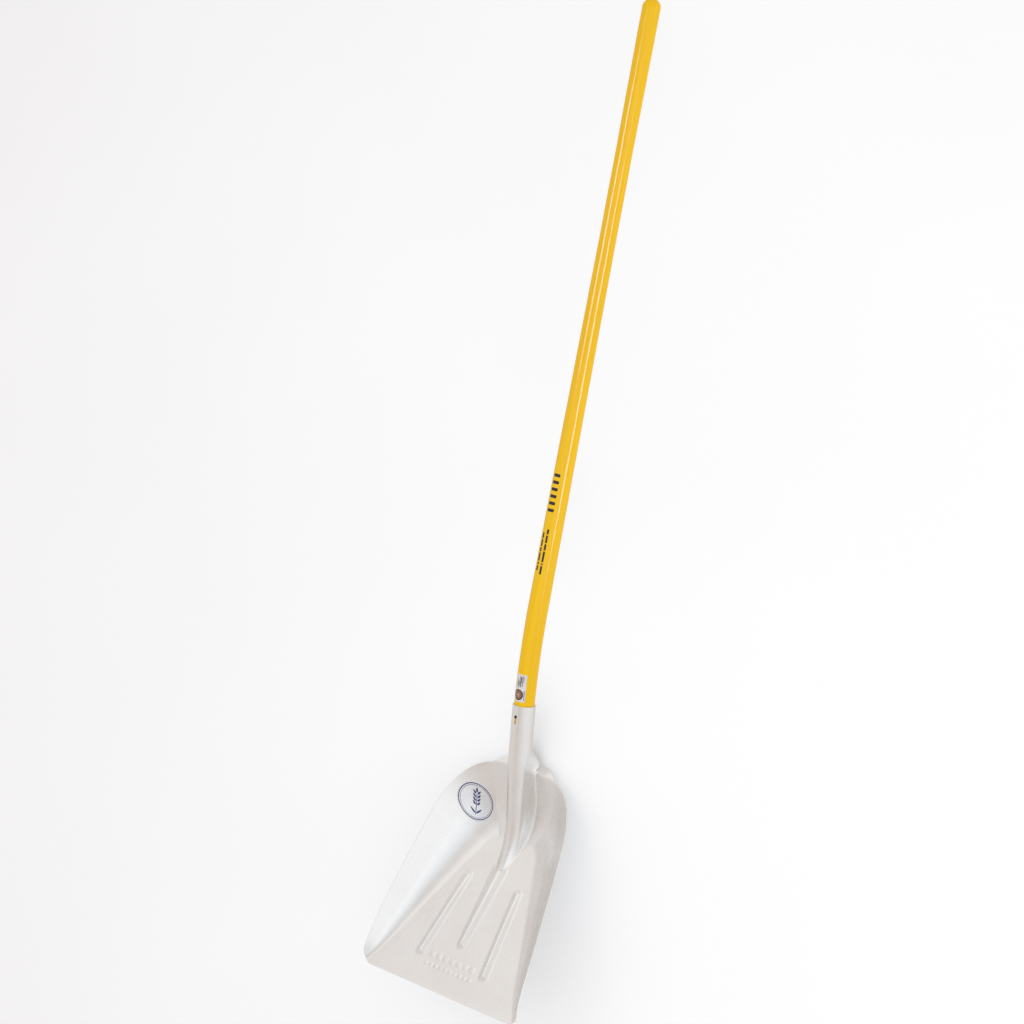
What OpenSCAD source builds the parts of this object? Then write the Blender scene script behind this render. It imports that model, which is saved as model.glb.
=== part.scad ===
// Grain scoop shovel: one pressed aluminium sheet scoop whose tail is rolled
// into an open-backed socket, and a long bent ash handle nailed into it.
//
// The scoop is worked out in its own frame (X across, Y from the front edge
// towards the handle, Z up out of the scoop floor) and then laid down as the
// shovel lies on the ground: on its heel and on the end of the handle.

/* [Scoop] */
// Length of the scoop from its front edge to the top of the back wall
scoop_l = 412; // [400:1:425]
// Width of the scoop at the front corners
front_w = 371; // [350:1:390]
// Width of the scoop where the back corners begin
back_w = 304; // [290:1:312]
// Height of the back wall above the floor
wall_h = 71.5; // [66:0.5:76]
// Thickness of the sheet
sheet_t = 1.8; // [1.2:0.1:2]
// Corner radius at the two ends of the front edge
front_r = 19; // [12:1:24]
// How far the bent-back treads reach behind the back wall
tread_w = 19; // [14:1:22]

/* [Ribs] */
// Height of the pressed ribs
rib_h = 3.8; // [2:0.2:5]
// Width of the pressed ribs
rib_w = 22; // [18:0.5:24]
// Distance of each side rib from the middle at its front end
rib_x = 77; // [72:1:80]

/* [Socket] */
// Outside diameter of the rolled socket
socket_d = 41.2; // [41:0.1:42]
// Angle between the socket and the scoop floor
socket_angle = 36.5; // [35:0.5:38]
// Width of the open seam at the back of the socket
seam_w = 4; // [3:0.5:6]
// Length of the slot that the nail sits in
slot_l = 15; // [13:0.5:17]

/* [Handle] */
// Diameter of the handle at the socket
handle_d = 36.4; // [36:0.1:36.6]
// Diameter of the handle at its thinnest, near the far end
waist_d = 30; // [28:0.5:31]
// Diameter of the handle's rounded end
end_d = 32; // [31:0.5:34]
// Angle between the long straight handle and the scoop floor
handle_angle = 27.2; // [26:0.2:28]
// Radius of the bend between the socket and the straight handle
bend_r = 1400; // [1300:20:1500]
// Length of the straight handle above the bend, to the centre of its end
straight_l = 1048; // [950:2:1150]

/* [Nail and labels] */
// Diameter of the nail's head
nail_head_d = 5.2; // [4:0.2:6]
// Diameter of the nail's shank
nail_d = 2.8; // [2:0.2:3]
// Length of the paper label along the handle
label_l = 49; // [40:1:56]
// Arc that the paper label covers round the handle
label_arc = 71; // [60:1:80]

/* [Hidden] */

rs = socket_d/2;                 // socket, outside
rh = handle_d/2;                 // handle in the socket
ce = cos(socket_angle);
p0 = [scoop_l + 58, 131.7];      // [y, z] where the bend starts
bend_a = socket_angle - handle_angle;
bend_l = bend_r*bend_a*PI/180;
bc = [p0[0] + bend_r*sin(socket_angle), p0[1] - bend_r*cos(socket_angle)];
socket_top = 43;                 // the socket ends this far round the bend

// ---- the spine of socket and handle, in the plane x = 0 ----
function spine_a(s) = socket_angle - min(max(s, 0), bend_l)/bend_r*180/PI;
function spine(s) = let(sa = min(max(s, 0), bend_l), a = spine_a(s), d = s - sa)
    [bc[0] - bend_r*sin(a) + d*cos(a), bc[1] + bend_r*cos(a) + d*sin(a)];
// a point at distance s along the spine, n out of the front of the socket
function at_spine(s, n, x) = let(c = spine(s), a = spine_a(s))
    [x, c[0] - n*sin(a), c[1] + n*cos(a)];

// ---- small helpers ----
function lerp(a, b, t) = a + (b - a)*t;
function ease(t) = let(u = min(max(t, 0), 1)) u*u*(3 - 2*u);
// the larger of two heights, joined by a fillet that spans k
function blend(a, b, k) = let(h = max(k - abs(a - b), 0)/max(k, 0.001)) max(a, b) + h*h*k/4;
function bez2(a, b, c, t) = a*(1-t)*(1-t) + 2*b*t*(1-t) + c*t*t;
function bez3(a, b, c, d, t) = a*pow(1-t, 3) + 3*b*t*pow(1-t, 2) + 3*c*t*t*(1-t) + d*pow(t, 3);

// ---- plan outline of one half ----
hw = front_w/2;
bw = back_w/2;
yt = scoop_l;
tread_x = 73;                    // where each tread starts
notch = [26, yt + 3];            // foot of the slit beside the socket
side = [for (i = [0:16]) bez2([hw, 20], [(hw + bw)/2 + 5.8, 160], [bw, yt - 112], i/16)];
corner = [for (i = [1:10]) bez3([bw, yt - 112], [bw - 7, yt - 68], [117, yt - 10], [tread_x, yt - 3], i/10)];
tread = [for (i = [1:5]) bez3([tread_x, yt - 3], [66, yt + tread_w*0.5], [50, yt + tread_w], [34, yt + tread_w + 1.5], i/5)];
front = [for (i = [0:3]) [hw - front_r + front_r*sin(i*30), front_r*(1 - cos(i*30)) + i/3*(20 - front_r)]];
// outline points, one per row of the sheet
rim = concat([for (i = [0:2]) front[i]], side, corner, tread);
NV = len(rim) - 1;
// the wall's own upper edge, carried on across the back
wall = concat([[hw + 1.8, -20]], side, corner, [[50, yt], [26, yt + 1.5], [0, yt + 2], [-30, yt + 1.5]]);

function rim_h(y) = -blend(-(0.16*y + 16*(1 - exp(-max(y, 0)/28))), -wall_h, 8);

// distance inside the wall's upper edge, and the place on it: [distance, y]
function seg(p, a, b) = let(ab = b - a, t = min(max((p - a)*ab/(ab*ab), 0), 1), q = a + ab*t,
    w = p - a) [norm(p - q), q[1], ab[0]*w[1] - ab[1]*w[0]];
function nearest(p) = let(v = [for (i = [0:len(wall) - 2]) seg(p, wall[i], wall[i+1])],
    m = min([for (r = v) r[0]]), r = [for (r = v) if (r[0] <= m) r][0])
    [r[2] < 0 ? -r[0] : r[0], r[1]];

// height of the open bowl: flat floor, 45 degree walls, a soft fold between
// them, and treads that level off behind the back wall
function bowl(p) = let(n = nearest(p), h = rim_h(n[1]),
    kt = 4*ease((n[1] - yt + 40)/30),
    w = kt > 0.01 ? -blend(-(h - n[0]), -wall_h, kt) : h - n[0],
    k = max(min(4 + 0.10*n[1], 46, h), 0.5)) blend(w, 0, k);

// a pressed rib from a to b, w0 and w1 wide at its two ends
function rib(p, a, b, h0, h1, w0, w1) = let(ab = b - a, t = min(max((p - a)*ab/(ab*ab), 0), 1))
    lerp(h0, h1, ease(2*t - 1))*(1 - ease(norm(p - a - ab*t)/(lerp(w0, w1, t)/2)));

// the hollow ridge that carries the socket down into the bowl
function ridge_w(y) = lerp(15, rs, ease((y - yt + 207)/110));
crest_top = p0[1] - (p0[0] - notch[1])*tan(socket_angle) + rs/ce;
function crest(y) = blend(crest_top - (notch[1] - y)*(tan(socket_angle) + 0.1), 4.5, 44);
function ridge(p) = let(w = ridge_w(p[1]), t = abs(p[0])/w, T = sin(75))
    crest(p[1]) - w/ce*(t < T ? 1 - sqrt(1 - t*t) : 1 - sqrt(1 - T*T) + (t - T)*T/sqrt(1 - T*T));

function height(x, y) = let(p = [abs(x), y],
    b = bowl(p) + rib(p, [rib_x - 0.5, 58], [rib_x - 17, 214], rib_h, 0.55*rib_h, rib_w, rib_w)
        + (y < 300 ? rib(p, [0, 96], [0, 240], rib_h + 0.6, rib_h + 0.6, rib_w, rib_w*1.8) : 0),
    m = ease((y - yt + 207)/40))
    m <= 0 ? b : blend(b, lerp(-50, ridge(p), m), 1.5*m + 13.5*ease((y - yt + 170)/70) + 0.01);

// ---- rows of the sheet ----
K = 11;                          // columns from the middle to the ridge's foot
O = 13;                          // columns from there to the edge
M = K + O;
// the row's place on the middle line
function mid_y(j) = let(y = rim[j][1], u = (j - 19)/(NV - 19))
    j <= 19 ? y*(1 - 0.06*y/(yt - 112)) : lerp(282, notch[1], pow(u, 0.8));
function foot_x(y) = lerp(18, notch[0], ease((y - 215)/120));
function step_k(k) = k == 0 ? 0 : 0.036 + 0.964*(k - 1)/(K - 1);
// column k of the ridge part
function ridge_x(k, y) = let(t = step_k(k), w = min(ridge_w(y), foot_x(y)*0.93), x1 = w*sin(75))
    t < 0.5 ? w*sin(150*t) : lerp(x1, foot_x(y), (t - 0.5)*2);
function outer_u(i, j) = let(f = foot_x(mid_y(j)), l = norm(rim[j] - [f, mid_y(j)]),
    d = min(5/l, 0.045), y = mid_y(j), c = min(max((rib_x - (y - 52)*17/164 - f)/l, 0.2), 0.6))
    [0, 0.5*(c - 2.2*d), c - 2.2*d, c - d, c, c + d, c + 2.2*d,
     for (n = [1:7]) lerp(c + 2.2*d, 1, n/7)][i];
// plan position of column i (0 = middle, M = edge) in row j
function plan(i, j) = let(y = mid_y(j), f = foot_x(y))
    i <= K ? [ridge_x(i, y), y] : let(u = outer_u(i - K, j)) [lerp(f, rim[j][0], u), lerp(y, rim[j][1], u)];
half = [for (j = [0:NV]) [for (i = [0:M]) let(p = plan(i, j)) [p[0], p[1], height(p[0], p[1])]]];
function flip(p) = [-p[0], p[1], p[2]];
scoop_rows = [for (r = half) concat([for (i = [M:-1:1]) flip(r[i])], r)];

// ---- the rolled socket: each row opens from the ridge into a tube ----
// [crest s, edge s, edge x, edge n, roundness]
sock = [[-46, -66, 27.2, -23, 0], [-38, -54, 22, -23.3, 0.08], [-30, -43, 14.5, -23.2, 0.36],
        [-22, -33, 8, -22.4, 0.68], [-14, -22, 4.6, -21.5, 0.88], [-6, -10, 3, -20.9, 0.97],
        [2, 2, seam_w/2, -rs, 1], [10, 10, seam_w/2, -rs, 1],
        [10 + slot_l, 10 + slot_l, seam_w/2, -rs, 1],
        [socket_top - 10, socket_top - 10, seam_w/2, -rs, 1],
        [socket_top - 5, socket_top - 5, seam_w/2, -rs, 1], [socket_top, socket_top, seam_w/2, -rs, 1]];
NS = len(sock);
slot_row = 7;                    // the slot lies between this row and the next
amax = 180 - asin(seam_w/2/rs);
function sock_pt(r, k) = let(t = step_k(k), a = t*amax, q = [rs*sin(a), rs*cos(a)],
    u = max(t - 0.5, 0)*2, a5 = 0.5*amax,
    l = t <= 0.5 ? q : bez2([rs*sin(a5), rs*cos(a5)], [rs*1.0, -9], [r[2], r[3]], u),
    c = lerp(l, q, r[4]), ne = lerp(r[3], -rs, r[4]),
    s = lerp(r[0], r[1], min((rs - c[1])/(rs - ne), 1)))
    at_spine(s, c[1], c[0]);
sock_half = [for (r = sock) [for (k = [0:K]) sock_pt(r, k)]];
sock_rows = [for (r = sock_half) concat([for (i = [K:-1:1]) flip(r[i])], r)];

// ---- one closed sheet: top face, bottom face and edges ----
CW = 2*M + 1;                    // columns in a scoop row
SW = 2*K + 1;                    // columns in a socket row
NP = (NV + 1)*CW + NS*SW;        // points on one face
// index of column i in row j: rows past NV are socket rows, i counts from -M
function id(j, i) = j <= NV ? j*CW + i + M : (NV + 1)*CW + (j - NV - 1)*SW + i + K;
top = concat([for (r = scoop_rows) for (p = r) p], [for (r = sock_rows) for (p = r) p]);
NR = NV + NS;                    // last row
function lim(j) = j <= NV ? M : K;
function pt(j, i) = top[id(j, i)];
// sheet normal at column i of row j, from its neighbours
function nrm(j, i) = let(l = lim(j),
    a = pt(j, min(i + 1, l)) - pt(j, max(i - 1, -l)),
    j1 = (j == NV && abs(i) > K) ? j : min(j + 1, NR), j0 = max(j - 1, 0),
    b = pt(j1, i) - pt(j0, i), n = cross(a, b)) n/norm(n);
bottom = [for (j = [0:NR]) for (i = [-lim(j):lim(j)]) pt(j, i) - sheet_t*nrm(j, i)];
cells = [for (j = [0:NR - 1]) let(l = j < NV ? M : K) for (i = [-l:l - 1])
    if (!(j == NV + 1 + slot_row && (i == -1 || i == 0))) [j, i]];
// walk round the outer edge, and round the slot
edge = concat([for (i = [-M:M]) [0, i]], [for (j = [1:NV]) [j, M]], [for (i = [M - 1:-1:K]) [NV, i]],
    [for (j = [NV + 1:NR]) [j, K]], [for (i = [K - 1:-1:-K]) [NR, i]],
    [for (j = [NR - 1:-1:NV]) [j, -K]], [for (i = [-K - 1:-1:-M]) [NV, i]], [for (j = [NV - 1:-1:1]) [j, -M]]);
sr = NV + 1 + slot_row;
hole = [[sr, -1], [sr + 1, -1], [sr + 1, 0], [sr + 1, 1], [sr, 1], [sr, 0]];
function skirt(e) = [for (n = [0:len(e) - 1]) let(a = e[n], b = e[(n + 1) % len(e)],
    p = id(a[0], a[1]), q = id(b[0], b[1])) for (f = [[p, q, q + NP], [p, q + NP, p + NP]]) f];
faces = concat(
    [for (c = cells) let(a = id(c[0], c[1]), b = id(c[0], c[1] + 1), d = id(c[0] + 1, c[1]), e = id(c[0] + 1, c[1] + 1))
        for (f = c[1] >= 0 ? [[a, e, b], [a, d, e]] : [[a, d, b], [b, d, e]]) f],
    [for (c = cells) let(a = id(c[0], c[1]) + NP, b = id(c[0], c[1] + 1) + NP, d = id(c[0] + 1, c[1]) + NP, e = id(c[0] + 1, c[1] + 1) + NP)
        for (f = c[1] >= 0 ? [[a, b, e], [a, e, d]] : [[a, b, d], [b, e, d]]) f],
    skirt(edge), skirt(hole));

// ---- how it lies on the ground ----
end_c = spine(bend_l + straight_l);
end_r = end_d/2;
// the steepest line that passes under the heel and under the handle's end
tilt = max([for (p = bottom) let(d = [end_c[0] - p[1], end_c[1] - p[2]])
    atan2(d[1], d[0]) - asin(end_r/norm(d))]);
function laid(p) = [p[0], p[1]*cos(tilt) + p[2]*sin(tilt), p[2]*cos(tilt) - p[1]*sin(tilt)];
ground = end_c[1]*cos(tilt) - end_c[0]*sin(tilt) - end_r;
y_far = end_c[0]*cos(tilt) + end_c[1]*sin(tilt) + end_r;
y_near = min([for (i = [0:CW - 1]) min(laid(top[i])[1], laid(bottom[i])[1])]);
shift = [0, -(y_near + y_far)/2, -ground];
module lie() { translate(shift) rotate([-tilt, 0, 0]) children(); }
// stand children on the spine at s, their Z along it
module on_spine(s) { c = spine(s); translate([0, c[0], c[1]]) rotate([spine_a(s) - 90, 0, 0]) children(); }
// sweep a section round the bend, from angle a0 (measured from its start) over a1
module round_bend(a0, a1) {
    translate([0, bc[0], bc[1]]) rotate([socket_angle - a0, 0, 0]) rotate([0, -90, 0])
        rotate_extrude(angle = a1, $fn = 180) translate([bend_r, 0]) children();
}

module scoop() {
    color("gainsboro") lie() polyhedron(points = concat(top, bottom), faces = faces, convexity = 10);
}

// ash handle: tapered foot in the hollow ridge, bend, long taper, swelling, round end
waist_s = 660;                   // the thin stretch starts here above the bend
er = end_d/2;
lap = 2/bend_r*180/PI;
module handle() {
    color("gold") lie() {
        on_spine(-152) rotate_extrude($fn = 64)
            polygon([[0, 0], [6.5, 0], [8.5, 3], [rh - 0.8, 90], [rh, 120], [rh, 152], [0, 152]]);
        // the bend runs 2 mm into the straight stretches at each end
        round_bend(-lap, bend_a + 2*lap) circle(r = rh - 0.05, $fn = 64);
        on_spine(bend_l) rotate_extrude($fn = 64)
            polygon(concat([[0, 0], [rh, 0], [waist_d/2, waist_s], [waist_d/2, waist_s + 150], [er, straight_l - 56], [er, straight_l]],
                [for (i = [1:11]) [er*cos(i*90/12), straight_l + er*sin(i*90/12)]], [[0, straight_l + er]]));
    }
}

// nail driven through the upper end of the slot into the handle
nail_s = 10 + slot_l - nail_d/2;
module socket_nail() {
    color("silver") lie() {
        c = at_spine(nail_s, 0, 0);
        translate(c) rotate([spine_a(nail_s), 0, 0]) {
            translate([0, 0, rh]) cylinder(h = rs - rh + 0.15, d = nail_d, $fn = 32);
            translate([0, 0, rs + 0.15]) cylinder(h = 0.7, d = nail_head_d, $fn = 32);
            translate([0, 0, rs + 0.85]) cylinder(h = 0.7, d1 = nail_head_d, d2 = nail_head_d*0.55, $fn = 32);
        }
    }
}

// paper label wrapped part of the way round the handle above the socket
label_s = 50;
module handle_label() {
    a1 = label_l/bend_r*180/PI;
    color("white") lie() round_bend(label_s/bend_r*180/PI, a1)
        rotate(-3.5 - label_arc/2) difference() {
            intersection() {
                circle(r = rh + 0.3, $fn = 96);
                polygon([[0, 0], [60, 0], [60*cos(label_arc/2), 60*sin(label_arc/2)], [60*cos(label_arc), 60*sin(label_arc)]]);
            }
            circle(r = rh + 0.02, $fn = 96);
        }
}

// foil sticker pressed onto the left back wall
st_c = [-97, yt - 74];           // its middle in plan
st_r = 30;
module scoop_sticker() {
    n = 6; m = 24;
    p = concat([[st_c[0], st_c[1]]], [for (i = [1:n]) for (k = [0:m - 1])
        st_c + st_r*i/n*[cos(k*360/m), sin(k*360/m)]]);
    function f(q, o) = let(h = height(q[0], q[1]), e = 0.5,
        hx = (height(q[0] + e, q[1]) - height(q[0] - e, q[1]))/(2*e),
        hy = (height(q[0], q[1] + e) - height(q[0], q[1] - e))/(2*e),
        nn = [-hx, -hy, 1]/norm([-hx, -hy, 1])) [q[0], q[1], h] + o*nn;
    np = len(p);
    function w(i, k) = i == 0 ? 0 : 1 + (i - 1)*m + k % m;
    up = concat([for (k = [0:m - 1]) [w(0, 0), w(1, k + 1), w(1, k)]],
        [for (i = [1:n - 1]) for (k = [0:m - 1]) for (t = [[w(i, k), w(i, k + 1), w(i + 1, k)], [w(i, k + 1), w(i + 1, k + 1), w(i + 1, k)]]) t]);
    color("lightsteelblue") lie() polyhedron(convexity = 6,
        points = concat([for (q = p) f(q, 0.9)], [for (q = p) f(q, 0.5)]),
        faces = concat(up, [for (t = up) [t[2] + np, t[1] + np, t[0] + np]],
            [for (k = [0:m - 1]) for (t = [[w(n, k), w(n, k + 1), w(n, k + 1) + np], [w(n, k), w(n, k + 1) + np, w(n, k) + np]]) t]));
}

scoop();
handle();
socket_nail();
handle_label();
scoop_sticker();
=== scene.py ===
import math

import bpy
import numpy as np
from mathutils import Matrix, Vector


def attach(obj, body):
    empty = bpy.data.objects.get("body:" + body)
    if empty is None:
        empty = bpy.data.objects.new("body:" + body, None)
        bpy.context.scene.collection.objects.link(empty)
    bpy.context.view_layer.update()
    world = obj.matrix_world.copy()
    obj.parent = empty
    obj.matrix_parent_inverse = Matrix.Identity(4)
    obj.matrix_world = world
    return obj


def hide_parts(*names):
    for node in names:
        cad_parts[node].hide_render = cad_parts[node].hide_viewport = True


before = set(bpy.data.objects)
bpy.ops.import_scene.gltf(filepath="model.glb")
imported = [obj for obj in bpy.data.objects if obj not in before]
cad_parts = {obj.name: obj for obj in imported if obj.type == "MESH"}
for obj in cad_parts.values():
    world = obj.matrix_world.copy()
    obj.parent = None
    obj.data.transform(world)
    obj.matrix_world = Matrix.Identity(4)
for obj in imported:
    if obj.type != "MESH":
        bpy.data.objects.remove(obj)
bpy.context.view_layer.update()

# ------------------------------------------------------------------ the part's own numbers
YT, HW, BW = 412.0, 185.5, 152.0          # scoop length, half widths at front and back
WALL_H, T, FR = 71.5, 1.8, 19.0           # wall height, sheet thickness, front corner radius
TREAD_W, TREAD_X = 19.0, 73.0
RIB_H, RIB_W, RIB_X = 3.8, 22.0, 77.0
RS, RH = 20.6, 18.2                       # socket outside, handle in the socket
A0 = math.radians(36.5)                   # socket angle
BEND_R, BEND_L = 1400.0, 227.242
P0 = (YT + 58, 131.7)
BC = (P0[0] + BEND_R * math.sin(A0), P0[1] - BEND_R * math.cos(A0))
STRAIGHT_L, SOCKET_TOP, SEAM_W = 1048.0, 43.0, 4.0
TILT = math.radians(29.2869)
SHIFT = (0.0, -881.77, 159.062)


def laid(p):
    p = np.asarray(p, float)
    c, s = math.cos(TILT), math.sin(TILT)
    x, y, z = p[..., 0], p[..., 1], p[..., 2]
    return np.stack([x + SHIFT[0], y * c + z * s + SHIFT[1], z * c - y * s + SHIFT[2]], -1) * 0.001


def at_spine(s, n, x):
    s, n, x = np.broadcast_arrays(np.asarray(s, float), np.asarray(n, float), np.asarray(x, float))
    q = np.clip(s, 0, BEND_L)
    a = A0 - q / BEND_R
    d = s - q
    cy = BC[0] - BEND_R * np.sin(a) + d * np.cos(a)
    cz = BC[1] + BEND_R * np.cos(a) + d * np.sin(a)
    return np.stack([x, cy - n * np.sin(a), cz + n * np.cos(a)], -1)


# ------------------------------------------------------------------ the sheet's surface
def lerp(a, b, t):
    return a + (b - a) * t


def ease(t):
    u = np.clip(t, 0, 1)
    return u * u * (3 - 2 * u)


def blend(a, b, k):
    h = np.maximum(k - np.abs(a - b), 0) / np.maximum(k, 0.001)
    return np.maximum(a, b) + h * h * k / 4


def bez(points, t):
    t = np.asarray(t, float)[..., None]
    p = [np.asarray(q, float) for q in points]
    while len(p) > 1:
        p = [p[i] * (1 - t) + p[i + 1] * t for i in range(len(p) - 1)]
    return p[0]


SIDE = ((HW, 20), ((HW + BW) / 2 + 5.8, 160), (BW, YT - 112))
CORNER = ((BW, YT - 112), (BW - 7, YT - 68), (117, YT - 10), (TREAD_X, YT - 3))
TREAD = ((TREAD_X, YT - 3), (66, YT + TREAD_W * 0.5), (50, YT + TREAD_W), (34, YT + TREAD_W + 1.5))
BACK = ((TREAD_X, YT - 3), (52, YT + 0.4), (28, YT + 2), (0, YT + 2))
_wall = np.concatenate([
    [[HW + 1.8, -20]], bez(SIDE, np.linspace(0, 1, 121)), bez(CORNER, np.linspace(0, 1, 91)[1:]),
    bez(BACK, np.linspace(0, 1, 41)[1:]), [[-14, YT + 1.8], [-40, YT + 1]]])


def nearest(x, y):
    """Distance inside the wall's upper edge, and the y of the nearest place on it."""
    shape = x.shape
    p = np.stack([x.ravel(), y.ravel()], -1)
    a, ab = _wall[:-1], _wall[1:] - _wall[:-1]
    dist, ny = np.empty(len(p)), np.empty(len(p))
    for i in range(0, len(p), 20000):
        w = p[i:i + 20000, None, :] - a[None]
        t = np.clip((w * ab).sum(-1) / (ab * ab).sum(-1), 0, 1)
        q = a + ab * t[..., None]
        r = p[i:i + 20000, None, :] - q
        d = np.sqrt((r * r).sum(-1))
        k = d.argmin(1)
        rows = np.arange(len(k))
        cross = ab[k, 0] * w[rows, k, 1] - ab[k, 1] * w[rows, k, 0]
        dist[i:i + 20000] = np.where(cross < 0, -d[rows, k], d[rows, k])
        ny[i:i + 20000] = q[rows, k, 1]
    return dist.reshape(shape), ny.reshape(shape)


def rim_h(y):
    return -blend(-(0.16 * y + 16 * (1 - np.exp(-np.maximum(y, 0) / 28))), -WALL_H, 8)


def bowl(x, y):
    n0, n1 = nearest(x, y)
    h = rim_h(n1)
    kt = 4 * ease((n1 - YT + 40) / 30)
    w = np.where(kt > 0.01, -blend(-(h - n0), -WALL_H, np.maximum(kt, 0.01)), h - n0)
    return blend(w, 0, np.maximum(np.minimum(np.minimum(4 + 0.10 * n1, 46), h), 0.5))


def to_segment(x, y, a, b):
    """Distance from the stretch a to b, and how far along it."""
    ab = (b[0] - a[0], b[1] - a[1])
    t = np.clip(((x - a[0]) * ab[0] + (y - a[1]) * ab[1]) / (ab[0] ** 2 + ab[1] ** 2), 0, 1)
    return np.hypot(x - a[0] - ab[0] * t, y - a[1] - ab[1] * t), t


def rib(x, y, a, b, h0, h1, w0, w1):
    d, t = to_segment(x, y, a, b)
    return lerp(h0, h1, ease(2 * t - 1)) * (1 - ease(d / (lerp(w0, w1, t) / 2)))


SIDE_RIB = ((RIB_X - 0.5, 58), (RIB_X - 17, 214))
MID_RIB = ((0, 96), (0, 240))


def ridge_w(y):
    return lerp(15, RS, ease((y - YT + 207) / 110))


CREST_TOP = P0[1] - (P0[0] - (YT + 3)) * math.tan(A0) + RS / math.cos(A0)


def crest(y):
    return blend(CREST_TOP - (YT + 3 - y) * (math.tan(A0) + 0.1), 4.5, 44)


def ridge(x, y):
    w = ridge_w(y)
    t = np.abs(x) / w
    S, ce = math.sin(math.radians(75)), math.cos(A0)
    c = math.sqrt(1 - S * S)
    return crest(y) - w / ce * np.where(t < S, 1 - np.sqrt(np.maximum(1 - t * t, 0)), 1 - c + (t - S) * S / c)


def pip(x, y, cx, cy, hx, hy, r, edge):
    """1 on a rounded rectangle, falling to 0 over edge outside it."""
    qx, qy = np.abs(x - cx) - hx + r, np.abs(y - cy) - hy + r
    d = np.hypot(np.maximum(qx, 0), np.maximum(qy, 0)) + np.minimum(np.maximum(qx, qy), 0) - r
    return 1 - ease((d + edge / 2) / edge)


def emboss(x, y):
    """Two rows of plain raised pips near the front edge."""
    e = np.zeros_like(x)
    for k in range(7):
        e = np.maximum(e, pip(x, y, -48 + 16 * k, 60.3, 4.6, 4.9, 2.2, 1.9))
    for k in range(10):
        e = np.maximum(e, pip(x, y, -52.2 + 11.6 * k, 41.8, 3.6, 3.4, 1.6, 1.7))
    return 0.42 * e


def dent(x, y):
    """The sheet is never quite flat after pressing."""
    return (0.16 * np.sin(x * 0.021 + 1.3) * np.sin(y * 0.017 + 0.4) + 0.10 * np.sin(x * 0.043 - y * 0.031 + 2.2)
            + 0.06 * np.sin(x * 0.071 + y * 0.052 + 0.9)) * ease((y - 12) / 60)


def height(x, y):
    ax = np.abs(x)
    b = bowl(ax, y) + rib(ax, y, *SIDE_RIB, RIB_H, 0.55 * RIB_H, RIB_W, RIB_W)
    b = b + np.where(y < 300, rib(ax, y, *MID_RIB, RIB_H + 0.6, RIB_H + 0.6, RIB_W, RIB_W * 1.8), 0)
    m = ease((y - YT + 207) / 40)
    z = np.where(m <= 0, b, blend(b, lerp(-50, ridge(ax, y), m), 1.5 * m + 13.5 * ease((y - YT + 170) / 70) + 0.01))
    return z + emboss(x, y) + dent(x, y)


# ------------------------------------------------------------------ rows and columns of the sheet
def rim_at(j):
    j = np.asarray(j, float)[..., None]
    a = np.clip(j[..., 0], 0, 3)
    g = np.radians(30 * a)
    front = np.stack([HW - FR + FR * np.sin(g), FR * (1 - np.cos(g)) + a / 3 * (20 - FR)], -1)
    side = bez(SIDE, np.clip((j[..., 0] - 3) / 16, 0, 1))
    corner = bez(CORNER, np.clip((j[..., 0] - 19) / 10, 0, 1))
    tread = bez(TREAD, np.clip((j[..., 0] - 29) / 5, 0, 1))
    return np.where(j < 3, front, np.where(j < 19, side, np.where(j < 29, corner, tread)))


def mid_at(j):
    j = np.asarray(j, float)
    y = rim_at(j)[..., 1]
    return np.where(j <= 19, y * (1 - 0.06 * y / (YT - 112)), lerp(282, YT + 3, (np.maximum(j - 19, 0) / 15) ** 0.8))


def foot_x(y):
    return lerp(18, 26, ease((y - 215) / 120))


_jt = np.linspace(0, 19, 4001)
_yt = rim_at(_jt)[:, 1]
_front_y = [0, 0.1, 0.3, 0.6, 1.0, 1.6, 2.3, 3.2, 4.3, 5.6, 7, 8.5, 10.1, 11.8, 13.5, 15.2, 16.9, 18.4]
_side_y = [20.0]
while _side_y[-1] < YT - 112 - 1.2:
    y = _side_y[-1]
    _side_y.append(y + (0.95 if 33 < y < 70 else 1.75))
J = np.concatenate([np.interp(_front_y + _side_y[:-1], _yt, _jt), np.linspace(19, 29, 77), np.linspace(29, 34, 33)[1:-1], [33.93, 34]])
NJ = len(J)

# columns of the ridge: five close ones frame the slot, the rest are even
SLOT_T = 0.036
TK = np.concatenate([np.linspace(0, SLOT_T, 5), lerp(SLOT_T, 1, np.arange(1, 45) / 44)])
K = len(TK) - 1
O = 112                                   # columns from the ridge's foot to the rim
M = K + O


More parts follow.
